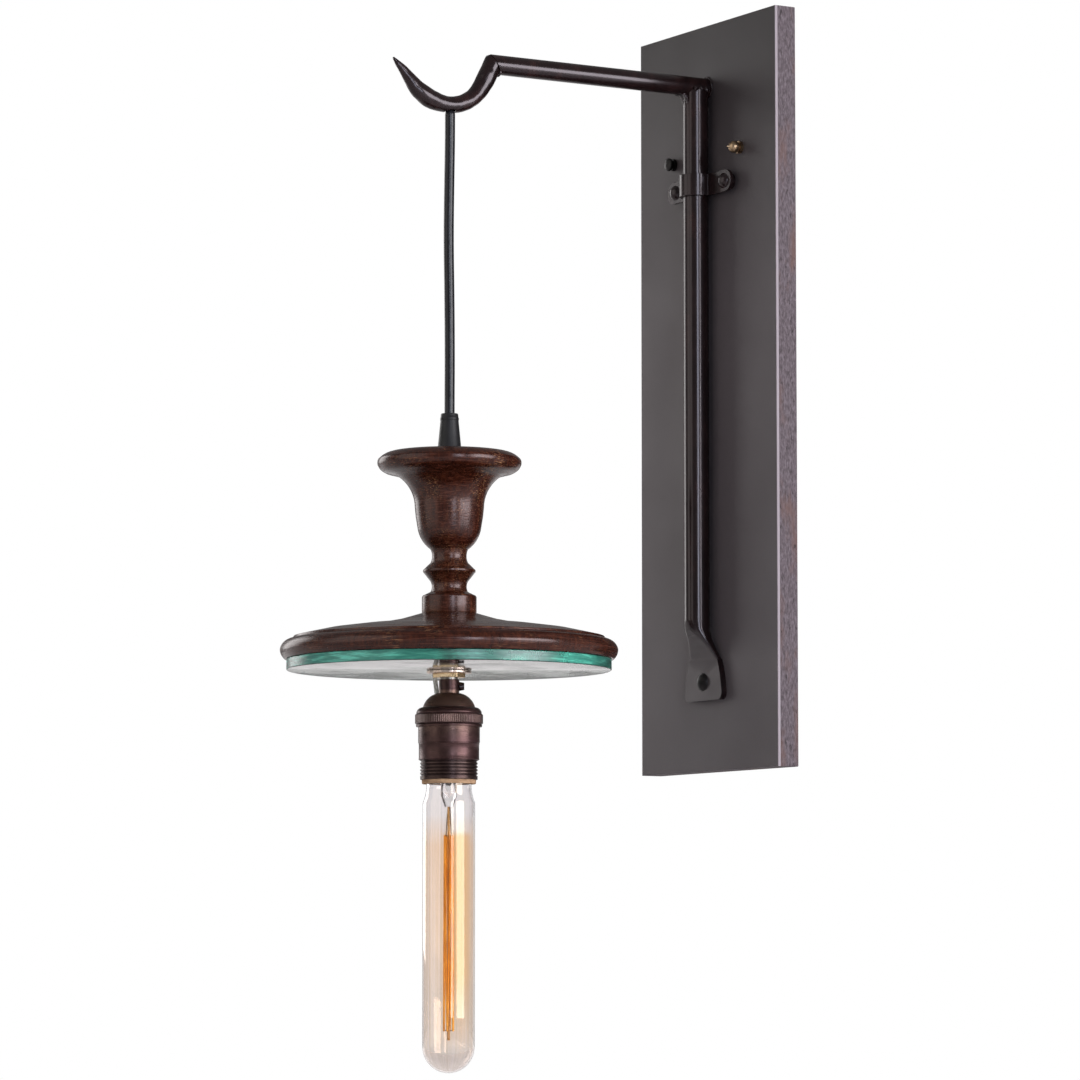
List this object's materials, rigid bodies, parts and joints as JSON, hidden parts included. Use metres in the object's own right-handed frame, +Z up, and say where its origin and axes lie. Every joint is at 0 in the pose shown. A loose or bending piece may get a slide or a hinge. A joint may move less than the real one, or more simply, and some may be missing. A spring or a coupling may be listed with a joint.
{
  "type": "wall sconce",
  "caption": "Tall wall plate with a round bar, an arm and a tapered hook, from whose underside a corded pendant hangs: turned wooden spindle, wooden and glass discs, lampholder, tubular lamp.",
  "frame": {"origin": "centre of the crossbar's two box-screw slots, on the wall plane, level with the two fixing studs", "axes": "+Z up, +Y into the wall, so the light stands out towards -Y; +X to the right seen from the room"},
  "size_m": [0.1852, 0.275, 0.5939],
  "materials": {
    "blackened_steel": "satin, blackened and waxed steel",
    "board_face": "stained board, mottled edges",
    "plain_steel": "plated strip, screws and nuts",
    "bronzed_nut": "dark bronzed nut",
    "brass": "satin brass, a little dull",
    "bronzed_brass": "dark bronze lacquer over brass",
    "black_cord": "black round cord",
    "black_rubber": "black moulded strain relief",
    "lead_cover": "insulated leads",
    "clear_cover": "clear insulation over bright wire",
    "turned_wood": "dark red-brown rubbed finish with worn edges",
    "green_glass": "thick plate glass, green edge, bright underside",
    "card": "tan card",
    "moulding": "moulded insulator",
    "amber_glass": "clear at the neck, amber tint below",
    "clear_glass": "clear glass",
    "nickel": "nickel-plated thread",
    "black_glass": "black glass insulator",
    "filament_wire": "fine wire"
  },
  "bodies": {
    "wall_part": {"back_board": "board_face", "front_sheet": "blackened_steel", "mounting_crossbar": "plain_steel", "ground_screw": "plain_steel", "wall_studs": "plain_steel", "dark_cap_nut": "bronzed_nut", "brass_cap_nut": "brass", "support_bar": "blackened_steel", "arm_tube": "blackened_steel", "horn_hook": "blackened_steel", "arm_leads": "lead_cover", "weld_beads": "blackened_steel", "pipe_strap": "blackened_steel", "strap_spacers": "blackened_steel", "strap_screws": "blackened_steel", "strap_nuts": "plain_steel", "foot_screw": "blackened_steel"},
    "cord_top": {"cord_flex": "black_cord"},
    "cord_long": {"cord_drop": "black_cord"},
    "pendant": {"strain_relief": "black_rubber", "inner_cord": "black_cord", "spindle": "turned_wood", "base_disc": "turned_wood", "glass_disc": "green_glass", "lamp_pipe": "plain_steel", "brass_washer": "brass", "brass_hex_nut": "brass", "earth_lead": "clear_cover", "socket_cap": "bronzed_brass", "set_screw": "bronzed_brass", "socket_collar": "bronzed_brass", "socket_shell": "bronzed_brass", "cardboard_liner": "card", "socket_core": "moulding", "screw_shell": "brass", "centre_contact": "brass", "terminal_screws": "brass", "inner_leads": "lead_cover"},
    "lamp": {"lamp_glass": "amber_glass", "lamp_cap": "nickel", "lamp_insulator": "black_glass", "lamp_contact": "nickel", "glass_stem": "clear_glass", "glass_rod": "clear_glass", "lead_wires": "filament_wire", "filament": "filament_wire", "support_hooks": "filament_wire"}
  },
  "joints": [
    {"name": "swing_fore_aft", "type": "hinge", "parent": "wall_part", "child": "cord_top", "pos_m": [0, -0.1824, 0.00877], "axis": [1, 0, 0], "range_deg": [-30, 12]},
    {"name": "swing_sideways", "type": "hinge", "parent": "cord_top", "child": "cord_long", "pos_m": [0, -0.1824, -0.00523], "axis": [0, 1, 0], "range_deg": [-30, 30]},
    {"name": "pendant_twist", "type": "hinge", "parent": "cord_long", "child": "pendant", "pos_m": [0, -0.1824, -0.15793], "axis": [0, 0, 1], "range_deg": [-180, 180]},
    {"name": "lamp_turn", "type": "hinge", "parent": "pendant", "child": "lamp", "pos_m": [0, -0.1824, -0.3466], "axis": [0, 0, 1], "range_deg": [0, 360]}
  ]
}
